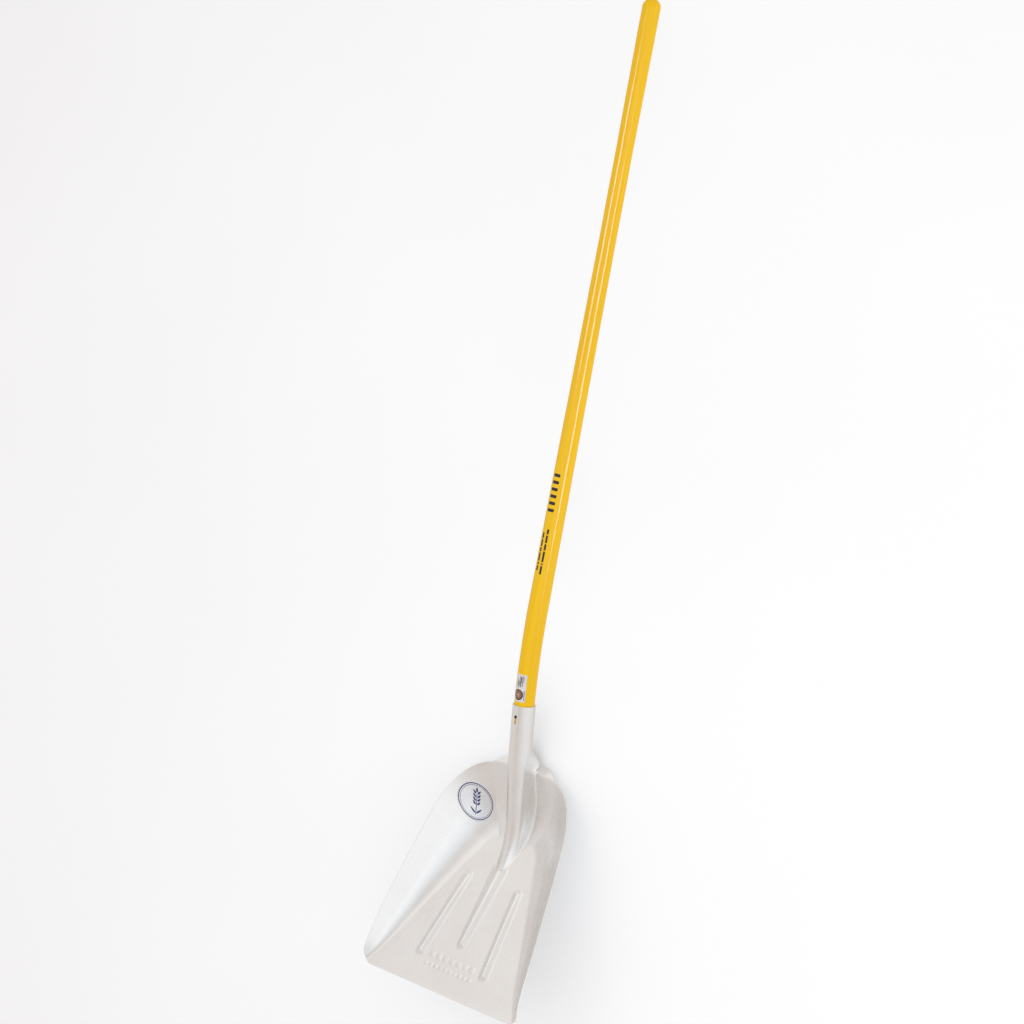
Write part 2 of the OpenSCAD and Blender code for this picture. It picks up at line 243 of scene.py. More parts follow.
def scoop_grid():
    rim, mid = rim_at(J), mid_at(J)
    foot = foot_x(mid)
    w = np.minimum(ridge_w(mid), foot * 0.93)
    x1 = w * math.sin(math.radians(75))
    half = np.zeros((NJ, M + 1, 2))
    for k, t in enumerate(TK):
        half[:, k, 0] = w * math.sin(math.radians(150 * t)) if t < 0.5 else lerp(x1, foot, (t - 0.5) * 2)
        half[:, k, 1] = mid
    u = np.linspace(0, 1, 1201)
    for j in range(NJ):
        f, y = foot[j], mid[j]
        l = math.hypot(rim[j, 0] - f, rim[j, 1] - y)
        c = min(max((RIB_X - (y - 52) * 17 / 164 - f) / l, 0.2), 0.6)
        band = ease((y - 12) / 24) * (1 - ease((y - 76) / 40))
        d, e = u * l, (1 - u) * l
        weight = (1 + band * 0.9 / (1 + np.exp((d - 52) / 4)) + 1.2 * np.exp(-(d / 6) ** 2)
                  + 0.8 * np.exp(-((u - c) * l / 12) ** 2) + 0.5 * np.exp(-(e / 45) ** 2))
        run = np.concatenate([[0], np.cumsum((weight[1:] + weight[:-1]) / 2)])
        col = np.interp(np.linspace(0, 1, O + 1), run / run[-1], u)
        col[-2] = max(col[-2], 1 - 0.5 / l)
        half[j, K:, 0] = lerp(f, rim[j, 0], col)
        half[j, K:, 1] = lerp(y, rim[j, 1], col)
    xy = np.concatenate([half[:, :0:-1] * [-1, 1], half], 1)
    return np.concatenate([xy, height(xy[..., 0], xy[..., 1])[..., None]], -1)


# the socket's knots: crest s, edge s, edge x, edge n, roundness
SOCK = ((-46, -66, 27.2, -23, 0), (-38, -54, 22, -23.3, 0.08), (-30, -43, 14.5, -23.2, 0.36), (-22, -33, 8, -22.4, 0.68),
        (-14, -22, 4.6, -21.5, 0.88), (-6, -10, 3, -20.9, 0.97), (2, 2, SEAM_W / 2, -RS, 1))
AMAX = math.pi - math.asin(SEAM_W / 2 / RS)
SLOT = (10.0, 25.0)                        # the slot's two ends along the spine


def sock_row(r, t):
    a = t * AMAX
    q = np.stack([RS * np.sin(a), RS * np.cos(a)], -1)
    a5 = AMAX / 2
    l = bez(((RS * math.sin(a5), RS * math.cos(a5)), (RS, -9), (r[2], r[3])), np.maximum(t - 0.5, 0) * 2)
    l = np.where(t[:, None] <= 0.5, q, l)
    c = lerp(l, q, r[4])
    ne = lerp(r[3], -RS, r[4])
    return at_spine(lerp(r[0], r[1], np.minimum((RS - c[:, 1]) / (RS - ne), 1)), c[:, 1], c[:, 0])


def slot_warp(arc, s):
    """Bends the square hole in the grid into a slot with round ends."""
    hx, (s0, s1) = RS * SLOT_T * AMAX, SLOT
    qx, qs = np.clip(arc, -hx, hx), np.clip(s, s0, s1)
    inside = (np.abs(arc) <= hx + 1e-9) & (s >= s0 - 1e-9) & (s <= s1 + 1e-9)
    # nearest place on the rectangle's outline
    side = inside & (hx - np.abs(arc) <= np.minimum(s - s0, s1 - s))
    end = inside & ~side
    qx = np.where(side, np.where(arc < 0, -hx, hx), qx)
    qs = np.where(end, np.where(s - s0 < s1 - s, s0, s1), qs)
    on_end = (np.abs(qs - s0) < 1e-9) | (np.abs(qs - s1) < 1e-9)
    phi = qx / hx * math.pi / 2
    c0, c1 = s0 + hx, s1 - hx
    tx = np.where(on_end, hx * np.sin(phi), qx)
    ts = np.where(on_end, np.where(np.abs(qs - s0) < 1e-9, c0 - hx * np.cos(phi), c1 + hx * np.cos(phi)),
                  lerp(c0, c1, (qs - s0) / (s1 - s0)))
    far = np.hypot(arc - qx, s - qs)
    f = 1 - ease(far / 6.0)
    return arc + (tx - qx) * f, s + (ts - qs) * f


def sock_grid(scoop):
    t = TK
    lead = scoop[-14:, M:M + K + 1]                       # last rows of the ridge, middle to foot
    knots = [sock_row(r, t) for r in SOCK]
    pts = [lead[0], lead[-1]] + knots
    w = [0.0]
    for a, b in zip(pts, pts[1:]):
        w.append(w[-1] + float(np.linalg.norm(b - a, axis=-1).mean()))
    pts, w = np.array(pts), np.array(w)
    # tangents from the parabola through three neighbours
    tan = np.zeros_like(pts)
    for i in range(1, len(pts) - 1):
        d0, d1 = (pts[i] - pts[i - 1]) / (w[i] - w[i - 1]), (pts[i + 1] - pts[i]) / (w[i + 1] - w[i])
        h0, h1 = w[i] - w[i - 1], w[i + 1] - w[i]
        tan[i] = (d0 * h1 + d1 * h0) / (h0 + h1)
    end = sock_row((2.5, 2.5) + SOCK[-1][2:], t)
    tan[-1] = (end - pts[-1]) / 0.5
    rows = []
    for i in range(1, len(pts) - 1):
        h = w[i + 1] - w[i]
        n = max(int(round(h / 1.5)), 2)
        for k in range(1, n + 1):
            u = k / n
            rows.append((2 * u ** 3 - 3 * u ** 2 + 1) * pts[i] + (u ** 3 - 2 * u ** 2 + u) * h * tan[i]
                        + (3 * u ** 2 - 2 * u ** 3) * pts[i + 1] + (u ** 3 - u ** 2) * h * tan[i + 1])
    flare = len(rows)
    s_rows = np.concatenate([np.linspace(2, SLOT[0], 6)[1:], np.linspace(SLOT[0], SLOT[1], 21)[1:], np.linspace(SLOT[1], 42.5, 13)[1:], [SOCKET_TOP]])
    for s in s_rows:
        arc, ss = slot_warp(RS * TK * AMAX, np.full(K + 1, s))
        rows.append(at_spine(ss, RS * np.cos(arc / RS), RS * np.sin(arc / RS)))
    rows = np.array(rows)
    full = np.concatenate([rows[:, :0:-1] * [-1, 1, 1], rows], 1)
    return full, flare, s_rows


def relax(scoop, sock, flare):
    """Evens out the join between the ridge and the socket, along the rows only."""
    nj = 16
    strip = np.concatenate([scoop[-nj:, M - K:M + K + 1], sock], 0)
    n = nj + flare
    wt = np.zeros(len(strip))
    idx = np.arange(len(strip))
    wt[:] = ease((idx - 2) / 8) * (1 - ease((idx - (n - 12)) / 10))
    cols = ease((K - np.abs(np.arange(-K, K + 1)) - 1) / 4)
    for _ in range(40):
        mid = (strip[:-2] + strip[2:]) / 2
        strip[1:-1] += (mid - strip[1:-1]) * 0.5 * wt[1:-1, None, None] * cols[None, :, None]
    scoop[-nj:, M - K:M + K + 1] = strip[:nj]
    return scoop, strip[nj:]


def unit(v):
    return v / np.maximum(np.linalg.norm(v, axis=-1, keepdims=True), 1e-12)


def grid_normals(g):
    a, b = np.empty_like(g), np.empty_like(g)
    a[:, 1:-1], a[:, 0], a[:, -1] = g[:, 2:] - g[:, :-2], g[:, 1] - g[:, 0], g[:, -1] - g[:, -2]
    b[1:-1], b[0], b[-1] = g[2:] - g[:-2], g[1] - g[0], g[-1] - g[-2]
    n = unit(np.cross(unit(a), unit(b)))
    return n


def soften(n, times):
    for _ in range(times):
        m = n.copy()
        m[1:-1] += 0.5 * (n[2:] + n[:-2])
        m[:, 1:-1] += 0.5 * (n[:, 2:] + n[:, :-2])
        n = unit(m)
    return n


def mesh_object(name, verts, faces, smooth=True, attributes=()):
    mesh = bpy.data.meshes.new(name)
    mesh.from_pydata([tuple(v) for v in np.asarray(verts).tolist()], [], faces)
    for key, kind, data in attributes:
        a = mesh.attributes.new(key, kind, "POINT")
        a.data.foreach_set("vector" if kind == "FLOAT_VECTOR" else "value", np.asarray(data, np.float32).ravel())
    if smooth:
        mesh.polygons.foreach_set("use_smooth", [True] * len(mesh.polygons))
    mesh.validate()
    mesh.update()
    obj = bpy.data.objects.new(name, mesh)
    bpy.context.scene.collection.objects.link(obj)
    return obj


def build_scoop():
    S = scoop_grid()
    R, flare, s_rows = sock_grid(S)
    S, R = relax(S, R, flare)
    NS, CW, SW = len(R), 2 * M + 1, 2 * K + 1
    strip = np.concatenate([S[:, M - K:M + K + 1], R], 0)
    ns, nr = soften(grid_normals(S), 2), soften(grid_normals(strip), 2)
    mixw = ease((np.arange(NJ) - (NJ - 5)) / 4)[:, None, None] * np.ones((1, SW, 1))
    mixw[:, [0, -1]] *= 0.5
    ns[:, M - K:M + K + 1] = unit(lerp(ns[:, M - K:M + K + 1], nr[:NJ], mixw))
    nr = nr[NJ:]

    top = np.concatenate([S.reshape(-1, 3), R.reshape(-1, 3)])
    nor = np.concatenate([ns.reshape(-1, 3), nr.reshape(-1, 3)])
    bot = top - T * nor
    N = len(top)

    def sid(j, i):
        return j * CW + i + M

    def rid(j, i):
        return NJ * CW + j * SW + i + K

    # flat coordinates of the sheet, for the rolling marks
    def lengths(g, axis):
        d = np.linalg.norm(np.diff(g, axis=axis), axis=-1)
        z = np.zeros_like(np.take(d, [0], axis))
        return np.concatenate([z, np.cumsum(d, axis)], axis)

    us = lengths(S, 1)
    us = us - us[:, M:M + 1]
    vs = lengths(S, 0)
    ur = lengths(R, 1)
    ur = ur - ur[:, K:K + 1]
    vr = lengths(np.concatenate([S[-1:, M - K:M + K + 1], R], 0), 0)[1:] + vs[-1:, M - K:M + K + 1]
    flat = np.stack([np.concatenate([us.ravel(), ur.ravel()]), np.concatenate([vs.ravel(), vr.ravel()]), np.zeros(N)], -1) * 0.001

    # how worn the sheet is: front edge, rib tops, ridge, rim; on the treads the same mark is a painted highlight
    ax, y = np.abs(top[:, 0]), top[:, 1]
    wear_and_sheen = 0.6 * np.exp(-np.maximum(y, 0) / 6)
    for line in (SIDE_RIB, MID_RIB):
        wear_and_sheen = np.maximum(wear_and_sheen, 0.45 * (1 - ease(to_segment(ax, y, *line)[0] / 3.2)))
    # painted highlight on the treads: their colour is lightened and their roughness lowered to stand in for the light
    # they catch
    wear_and_sheen = np.maximum(wear_and_sheen, 0.9 * ease((-nearest(ax, y)[0] - 0.5) / 3) * ease((ax - 24) / 6) * (np.arange(N) < NJ * CW))

    faces = []
    j, i = np.meshgrid(np.arange(NJ - 1), np.arange(-M, M), indexing="ij")
    a, b, c, d = sid(j, i), sid(j, i + 1), sid(j + 1, i + 1), sid(j + 1, i)
    q = [np.stack([a, b, c, d], -1).reshape(-1, 4)]
    i = np.arange(-K, K)
    q.append(np.stack([sid(NJ - 1, i), sid(NJ - 1, i + 1), rid(0, i + 1), rid(0, i)], -1))
    j, i = np.meshgrid(np.arange(NS - 1), np.arange(-K, K), indexing="ij")
    j0 = flare + 4                                        # socket row at the slot's lower end
    keep = ~((j >= j0) & (j < j0 + 20) & (i >= -4) & (i < 4))
    j, i = j[keep], i[keep]
    q.append(np.stack([rid(j, i), rid(j, i + 1), rid(j + 1, i + 1), rid(j + 1, i)], -1))
    q = np.concatenate(q)
    faces = q.tolist() + (q[:, ::-1] + N).tolist()

    ring = ([sid(0, i) for i in range(-M, M + 1)] + [sid(j, M) for j in range(1, NJ)] + [sid(NJ - 1, i) for i in range(M - 1, K - 1, -1)]
            + [rid(j, K) for j in range(NS)] + [rid(NS - 1, i) for i in range(K - 1, -K - 1, -1)] + [rid(j, -K) for j in range(NS - 2, -1, -1)]
            + [sid(NJ - 1, i) for i in range(-K, -M - 1, -1)] + [sid(j, -M) for j in range(NJ - 2, 0, -1)])
    j1 = j0 + 20
    hole = ([rid(j, -4) for j in range(j0, j1)] + [rid(j1, i) for i in range(-4, 4)] + [rid(j, 4) for j in range(j1, j0, -1)]
            + [rid(j0, i) for i in range(4, -4, -1)])
    extra, parent = [], []
    for loop, bulge in ((ring, 0.42), (hole, 0.25)):
        loop = np.array(loop)
        p, m, n = top[loop], bot[loop], nor[loop]
        t0, t1 = unit(p - np.roll(p, 1, 0)), unit(np.roll(p, -1, 0) - p)
        out = unit(np.cross(unit(t0 + t1), n))
        base = N * 2 + len(extra)
        L = len(loop)
        for deg in (40, 90, 140):
            g = math.radians(deg)
            extra.extend(((p + m) / 2 + (p - m) / 2 * math.cos(g) + out * bulge * math.sin(g)).tolist())
            parent.extend(loop.tolist())
        layers = [loop, base + np.arange(L), base + L + np.arange(L), base + 2 * L + np.arange(L), loop + N]
        for lo, hi in zip(layers, layers[1:]):
            nx, nh = np.roll(lo, -1), np.roll(hi, -1)
            faces.extend(np.stack([nx, lo, hi, nh], -1).tolist())
    # vertices inside the slot are not used
    verts = np.concatenate([top, bot, np.array(extra)])
    parent = np.concatenate([np.arange(N), np.arange(N), np.array(parent)])
    edge = np.concatenate([np.zeros(N), np.zeros(N), np.ones(len(extra))])
    used = np.zeros(len(verts), bool)
    for f in faces:
        used[f[0]] = used[f[1]] = used[f[2]] = used[f[3]] = True
    new = np.cumsum(used) - 1
    faces = new[np.array(faces)].tolist()
    verts, parent, edge = verts[used], parent[used], edge[used]
    wear_and_sheen = np.maximum(wear_and_sheen[parent], edge * 0.85)
    place = verts * 0.001
    return mesh_object("pressed_scoop", laid(verts), faces, attributes=(
        ("sheet_uv", "FLOAT_VECTOR", flat[parent]), ("place", "FLOAT_VECTOR", place), ("wear_and_sheen", "FLOAT", wear_and_sheen)))


# ------------------------------------------------------------------ the handle
S_END = BEND_L + STRAIGHT_L


def handle_r(s):
    knots = [-149, -62, -32, BEND_L, BEND_L + 660, BEND_L + 810, BEND_L + 992, S_END]
    radii = [8.5, 17.4, 18.2, 18.2, 15, 15, 16, 16]
    r = 0
    for d, w in ((-16, 0.12), (-8, 0.2), (0, 0.36), (8, 0.2), (16, 0.12)):
        r = r + w * np.interp(np.asarray(s, float) + d * ease((np.asarray(s, float) + 140) / 60), knots, radii)
    return r


def unevenness(s, ang, r):
    """The turned surface is very slightly uneven."""
    wave = 0.05 * np.sin(s * 0.043 + 2 * ang) + 0.04 * np.sin(s * 0.017 - ang + 1.1) + 0.03 * np.sin(s * 0.11 + 3 * ang)
    return wave * ease((r - 10) / 5) * ease((s - 60) / 40)


def build_handle():
    rings = [(-152.0, 0.9), (-152.0, 3.5), (-152.0, 6.0), (-151.7, 6.6), (-150.6, 7.6), (-149.3, 8.35), (-148, 8.6)]
    rings += [(s, float(handle_r(s))) for s in np.linspace(-145, S_END, 380)]
    for g in np.linspace(0, 90, 17)[1:-1]:
        rings.append((S_END + 16 * math.sin(math.radians(g)), 16 * math.cos(math.radians(g))))
    rings.append((S_END + 15.99, 0.6))
    A = 112
    ang = np.arange(A) / A * 2 * math.pi
    s = np.array([r[0] for r in rings])[:, None]
    r = np.array([r[1] for r in rings])[:, None]
    r = r + unevenness(s, ang, r)
    p = at_spine(s, r * np.cos(ang), r * np.sin(ang))
    axis = np.stack([r * np.sin(ang), r * np.cos(ang), s + 0 * ang], -1) * 0.001
    n = len(rings)
    idx = np.arange(n * A).reshape(n, A)
    a, b = idx[:-1], idx[1:]
    faces = np.stack([a, np.roll(a, -1, 1), np.roll(b, -1, 1), b], -1).reshape(-1, 4).tolist()
    faces.append(idx[0][::-1].tolist())
    faces.append(idx[-1].tolist())
    return mesh_object("ash_handle", laid(p.reshape(-1, 3)), faces, attributes=(("grain", "FLOAT_VECTOR", axis.reshape(-1, 3)),))


# ------------------------------------------------------------------ thin plates laid on a surface
def rounded(cx, cy, lx, ly, r, step, turn=0.0):
    """Grid of points over a rounded rectangle lx by ly, centred, turned by turn degrees."""
    r = min(r, lx / 2 * 0.98, ly / 2 * 0.98)
    ends = np.array([0, 0.08, 0.25, 0.5, 0.75, 1.0]) * r
    inner = np.linspace(r, ly - r, max(int((ly - 2 * r) / step), 1) + 1)
    v = np.concatenate([ends[:-1], inner, ly - ends[:-1][::-1]])
    e = np.minimum(v, ly - v)
    w = np.where(e < r, lx / 2 - r + np.sqrt(np.maximum(r * r - (r - e) ** 2, 0)), lx / 2)
    w = np.maximum(w, 0.02)
    u = np.linspace(-1, 1, max(int(lx / step), 2) + 1)
    g = np.stack([w[:, None] * u[None], (v - ly / 2)[:, None] + 0 * u[None]], -1)
    c, s = math.cos(math.radians(turn)), math.sin(math.radians(turn))
    return np.stack([cx + g[..., 0] * c - g[..., 1] * s, cy + g[..., 0] * s + g[..., 1] * c], -1), False


def disc(cx, cy, r, n, ry=None, turn=0.0, pinch=0.0):
    """Grid of points over a disc or an ellipse, or a grain shape with pinch."""
    t = np.linspace(-1, 1, n)
    a, b = np.meshgrid(t, t, indexing="ij")
    x, y = a * np.sqrt(1 - b * b / 2), b * np.sqrt(1 - a * a / 2)
    x, y = x * r * (1 - pinch * y), y * (ry or r)
    c, s = math.cos(math.radians(turn)), math.sin(math.radians(turn))
    g = np.stack([cx + x * c - y * s, cy + x * s + y * c], -1)
    return g[:, ::-1], False


def ring_shape(cx, cy, r0, r1, n, m=2):
    a = np.arange(n) / n * 2 * math.pi
    r = np.linspace(r1, r0, m + 1)[:, None]
    return np.stack([cx + r * np.cos(a), cy + r * np.sin(a)], -1), True


def plate(name, shapes, surface, low, high, turn_over=False):
    """Closed thin solids over 2-D shapes: surface(a, b, offset) gives points in the scoop frame."""
    verts, faces, flat = [], [], []
    for g, wrap in shapes:
        n, m = g.shape[:2]
        lo, hi = surface(g[..., 0], g[..., 1], low), surface(g[..., 0], g[..., 1], high)
        base = len(verts)
        verts.extend(hi.reshape(-1, 3).tolist())
        verts.extend(lo.reshape(-1, 3).tolist())
        flat.extend(np.concatenate([g.reshape(-1, 2)] * 2).tolist())
        idx = base + np.arange(n * m).reshape(n, m)
        k = n * m
        cols = m if wrap else m - 1
        fs = []
        for i in range(n - 1):
            for j in range(cols):
                a, b, c, d = idx[i, j], idx[i, (j + 1) % m], idx[i + 1, (j + 1) % m], idx[i + 1, j]
                fs.append((a, b, c, d))
                fs.append((d + k, c + k, b + k, a + k))
        if wrap:
            loops = [[idx[0, j] for j in range(m)], [idx[-1, j] for j in range(m - 1, -1, -1)]]
        else:
            loops = [[idx[0, j] for j in range(m)] + [idx[i, m - 1] for i in range(1, n)] + [idx[n - 1, j] for j in range(m - 2, -1, -1)]
                     + [idx[i, 0] for i in range(n - 2, 0, -1)]]
        for lp in loops:
            for p, q in zip(lp, lp[1:] + lp[:1]):
                fs.append((q, p, p + k, q + k))
        # faces were wound for a, b, up being right-handed; check one top face against the offset direction
        f = fs[0]
        va, vb, vd = (np.array(verts[f[0]]), np.array(verts[f[1]]), np.array(verts[f[3]]))
        best = None
        mid = (n // 2) * m + m // 2
        A, B, D = hi.reshape(-1, 3)[mid], hi.reshape(-1, 3)[mid + (1 if (mid + 1) % m else -1)], hi.reshape(-1, 3)[min(mid + m, k - 1)]
        up = hi.reshape(-1, 3)[mid] - lo.reshape(-1, 3)[mid]
        sign = np.dot(np.cross((B - A) * (1 if (mid + 1) % m else -1), D - A), up)
        if sign < 0:
            fs = [tuple(reversed(x)) for x in fs]
        faces.extend([tuple(int(i) for i in x) for x in fs])
    flat = np.concatenate([np.array(flat), np.zeros((len(flat), 1))], -1) * 0.001
    return mesh_object(name, laid(np.array(verts)), faces, attributes=(("flat", "FLOAT_VECTOR", flat),))


def on_handle(a, b, o):
    """a runs round the handle in millimetres from its front line, towards +X; b is the distance along the spine."""
    g = a / RH
    r = handle_r(b)
    r = r + unevenness(b, g, r) + o
    return at_spine(b, r * np.cos(g), r * np.sin(g))


def on_scoop(a, b, o):
    """a, b are x and y in the plan of the scoop; o is measured along the surface's normal."""
    e = 0.4
    z = height(a, b)
    hx, hy = (height(a + e, b) - height(a - e, b)) / (2 * e), (height(a, b + e) - height(a, b - e)) / (2 * e)
    n = unit(np.stack([-hx, -hy, np.ones_like(z)], -1))
    return np.stack([a, b, z], -1) + np.asarray(o)[..., None] * n


# ------------------------------------------------------------------ materials
class Graph:
    def __init__(self, tree):
        self.tree = tree
        tree.nodes.clear()

    def node(self, kind, inputs=None, **props):
        n = self.tree.nodes.new(kind)
        for k, v in props.items():
            setattr(n, k, v)
        for k, v in (inputs or {}).items():
            self.put(n.inputs[k], v)
        return n

    def put(self, socket, v):
        if isinstance(v, bpy.types.NodeSocket):
            self.tree.links.new(v, socket)
        elif isinstance(v, bpy.types.Node):
            self.tree.links.new(v.outputs[0], socket)
        else:
            socket.default_value = v

    def attr(self, name):
        return self.node("ShaderNodeAttribute", attribute_name=name, attribute_type="GEOMETRY")

    def scaled(self, vec, scale, offset=(0, 0, 0)):
        return self.node("ShaderNodeMapping", {"Vector": vec, "Scale": scale, "Location": offset}).outputs[0]

    def noise(self, vec, scale=1.0, detail=2.0, rough=0.5, distortion=0.0):
        return self.node("ShaderNodeTexNoise", {"Vector": vec, "Scale": scale, "Detail": detail, "Roughness": rough, "Distortion": distortion}).outputs["Fac"]

    def math(self, op, a, b=None, c=None, clamp=False):
        n = self.node("ShaderNodeMath", operation=op, use_clamp=clamp)
        for i, v in enumerate((a, b, c)):
            if v is not None:
                self.put(n.inputs[i], v)
        return n.outputs[0]

    def remap(self, v, a, b, lo=0.0, hi=1.0, kind="LINEAR"):
        return self.node("ShaderNodeMapRange", {"Value": v, "From Min": a, "From Max": b, "To Min": lo, "To Max": hi}, interpolation_type=kind).outputs[0]

    def ramp(self, fac, *stops):
        n = self.node("ShaderNodeValToRGB", {"Fac": fac})
        e = n.color_ramp.elements
        while len(e) > 1:
            e.remove(e[-1])
        e[0].position, e[0].color = stops[0][0], (*stops[0][1], 1)
        for pos, col in stops[1:]:
            x = e.new(pos)
            x.color = (*col, 1)
        return n.outputs["Color"]

    def mix(self, fac, a, b, kind="MIX"):
        n = self.node("ShaderNodeMix", data_type="RGBA", blend_type=kind)
        self.put(n.inputs[0], fac)
        self.put(n.inputs[6], a if isinstance(a, bpy.types.NodeSocket) else (*a, 1))
        self.put(n.inputs[7], b if isinstance(b, bpy.types.NodeSocket) else (*b, 1))
        return n.outputs[2]

    def bump(self, height, strength, distance, normal=None):
        inputs = {"Height": height, "Strength": strength, "Distance": distance}
        if normal is not None:
            inputs["Normal"] = normal
        return self.node("ShaderNodeBump", inputs).outputs[0]

    def finish(self, **inputs):
        p = self.node("ShaderNodeBsdfPrincipled", {k.replace("_", " "): v for k, v in inputs.items()})
        out = self.node("ShaderNodeOutputMaterial")
        self.tree.links.new(p.outputs[0], out.inputs["Surface"])
        return p


def material(name):
    m = bpy.data.materials.new(name)
    m.use_nodes = True
    return m, Graph(m.node_tree)


def aluminium():
    m, g = material("pressed_aluminium")
    uv, place, wear_and_sheen = g.attr("sheet_uv").outputs["Vector"], g.attr("place").outputs["Vector"], g.attr("wear_and_sheen").outputs["Fac"]
    cloud = g.noise(g.scaled(place, (9, 9, 9)), 1.0, 3.0, 0.55)
    spots = g.noise(g.scaled(place, (55, 55, 55), (3, 1, 7)), 1.0, 3.0, 0.6)
    rolled = g.noise(g.scaled(uv, (620, 9, 1)), 1.0, 4.0, 0.6)
    fine = g.noise(g.scaled(uv, (2300, 60, 1), (5, 2, 0)), 1.0, 2.0, 0.6)
    pebble = g.noise(g.scaled(place, (1500, 1500, 1500)), 1.0, 2.0, 0.5)
    tone = g.math("ADD", g.math("MULTIPLY", cloud, 0.5), g.math("ADD", g.math("MULTIPLY", rolled, 0.3), g.math("MULTIPLY", spots, 0.2)))
    base = g.ramp(tone, (0.30, (0.815, 0.795, 0.775)), (0.5, (0.870, 0.858, 0.845)), (0.70, (0.905, 0.898, 0.890)))
    # worn places are lightened towards bare bright metal; on the treads this lightening is a painted highlight
    base_with_wear_and_sheen = g.mix(g.math("MULTIPLY", wear_and_sheen, 0.55, clamp=True), base, (0.93, 0.928, 0.922))
    rough = g.math("ADD", g.remap(cloud, 0.3, 0.7, 0.235, 0.30), g.remap(rolled, 0.3, 0.7, -0.03, 0.04))
    rough = g.math("ADD", rough, g.remap(spots, 0.35, 0.7, -0.015, 0.03))
    rough = g.math("SUBTRACT", rough, g.math("MULTIPLY", wear_and_sheen, 0.11), clamp=True)
    n = g.bump(rolled, 0.045, 0.00012)
    n = g.bump(fine, 0.03, 0.00005, n)
    n = g.bump(pebble, 0.012, 0.00005, n)
    g.finish(Base_Color=base_with_wear_and_sheen, Metallic=1.0, Roughness=rough, Normal=n)
    return m


def lacquered_ash():
    m, g = material("lacquered_ash")
    co = g.attr("grain").outputs["Vector"]
    drift = g.noise(g.scaled(co, (30, 30, 2.2)), 1.0, 2.0, 0.5)
    rings = g.noise(g.scaled(co, (210, 210, 3.2)), 1.0, 3.0, 0.55, 0.6)
    pores = g.noise(g.scaled(co, (1500, 1500, 42), (4, 8, 1)), 1.0, 2.0, 0.65)
    pore = g.math("MULTIPLY", g.remap(pores, 0.60, 0.72, 0.0, 1.0, "SMOOTHSTEP"), g.remap(rings, 0.42, 0.62, 0.15, 1.0))
    tone = g.math("ADD", g.math("MULTIPLY", rings, 0.65), g.math("MULTIPLY", drift, 0.35))
    base = g.ramp(tone, (0.30, (0.765, 0.435, 0.002)), (0.5, (0.835, 0.492, 0.003)), (0.70, (0.885, 0.540, 0.006)))
    base = g.mix(g.math("MULTIPLY", pore, 0.28), base, (0.42, 0.19, 0.008))
    peel = g.noise(g.scaled(co, (260, 260, 150)), 1.0, 2.0, 0.5)
    n = g.bump(g.math("SUBTRACT", peel, g.math("MULTIPLY", pore, 0.6)), 0.10, 0.0002)
    rough = g.remap(drift, 0.3, 0.7, 0.30, 0.40)
    g.finish(Base_Color=base, Roughness=rough, IOR=1.5, Specular_IOR_Level=0.08, Normal=n, Coat_Weight=0.42, Coat_Roughness=0.15, Coat_IOR=1.45,
             Coat_Normal=g.bump(peel, 0.06, 0.0002))
    return m


def dark_steel():
    m, g = material("dark_nail_steel")
    co = g.node("ShaderNodeTexCoord").outputs["Object"]
    a = g.noise(g.scaled(co, (900, 900, 900)), 1.0, 3.0, 0.6)
    b = g.noise(g.scaled(co, (2600, 2600, 2600)), 1.0, 2.0, 0.5)
    base = g.ramp(a, (0.35, (0.045, 0.036, 0.032)), (0.55, (0.085, 0.075, 0.070)), (0.72, (0.16, 0.115, 0.085)))
    g.finish(Base_Color=base, Metallic=0.85, Roughness=g.remap(a, 0.3, 0.7, 0.42, 0.68), Normal=g.bump(b, 0.25, 0.0001))
    return m


def paper(name, low, high, coat=0.25):
    m, g = material(name)
    co = g.attr("flat").outputs["Vector"]
    fibre = g.noise(g.scaled(co, (1400, 420, 1)), 1.0, 3.0, 0.6)
    stain = g.noise(g.scaled(co, (70, 70, 1), (2, 2, 0)), 1.0, 2.0, 0.5)
    tone = g.math("ADD", g.math("MULTIPLY", fibre, 0.4), g.math("MULTIPLY", stain, 0.6))
    g.finish(Base_Color=g.ramp(tone, (0.32, low), (0.68, high)), Roughness=g.remap(fibre, 0.3, 0.7, 0.42, 0.55),
             Coat_Weight=coat, Coat_Roughness=0.2, Normal=g.bump(fibre, 0.08, 0.00005))
    return m


def ink(name, low, high, rough=0.38, metallic=0.0, coat=0.3):
    m, g = material(name)
    co = g.attr("flat").outputs["Vector"]
    speck = g.noise(g.scaled(co, (2200, 2200, 1)), 1.0, 3.0, 0.6)
    wide = g.noise(g.scaled(co, (160, 160, 1), (9, 4, 0)), 1.0, 2.0, 0.5)
    tone = g.math("ADD", g.math("MULTIPLY", speck, 0.5), g.math("MULTIPLY", wide, 0.5))
    g.finish(Base_Color=g.ramp(tone, (0.35, low), (0.65, high)), Metallic=metallic, Roughness=g.remap(wide, 0.3, 0.7, rough - 0.05, rough + 0.08),
             Coat_Weight=coat, Coat_Roughness=0.15, Normal=g.bump(speck, 0.05, 0.00004))
    return m


def foil():
    m, g = material("silver_foil")
    co = g.attr("flat").outputs["Vector"]
    brush = g.noise(g.scaled(co, (90, 2600, 1)), 1.0, 3.0, 0.6)
    soft = g.noise(g.scaled(co, (45, 45, 1), (1, 6, 0)), 1.0, 2.0, 0.5)
    tone = g.math("ADD", g.math("MULTIPLY", brush, 0.4), g.math("MULTIPLY", soft, 0.6))
    g.finish(Base_Color=g.ramp(tone, (0.32, (0.74, 0.745, 0.76)), (0.68, (0.87, 0.875, 0.885))), Metallic=0.9,
             Roughness=g.remap(soft, 0.3, 0.7, 0.24, 0.34), Coat_Weight=0.5, Coat_Roughness=0.12, Normal=g.bump(brush, 0.10, 0.00005))
    return m


def dress(obj, mat, slot_name, *nodes):
    obj.data.materials.clear()
    obj.data.materials.append(mat)
    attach(obj, "root")
    if nodes:
        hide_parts(*nodes)
    return obj


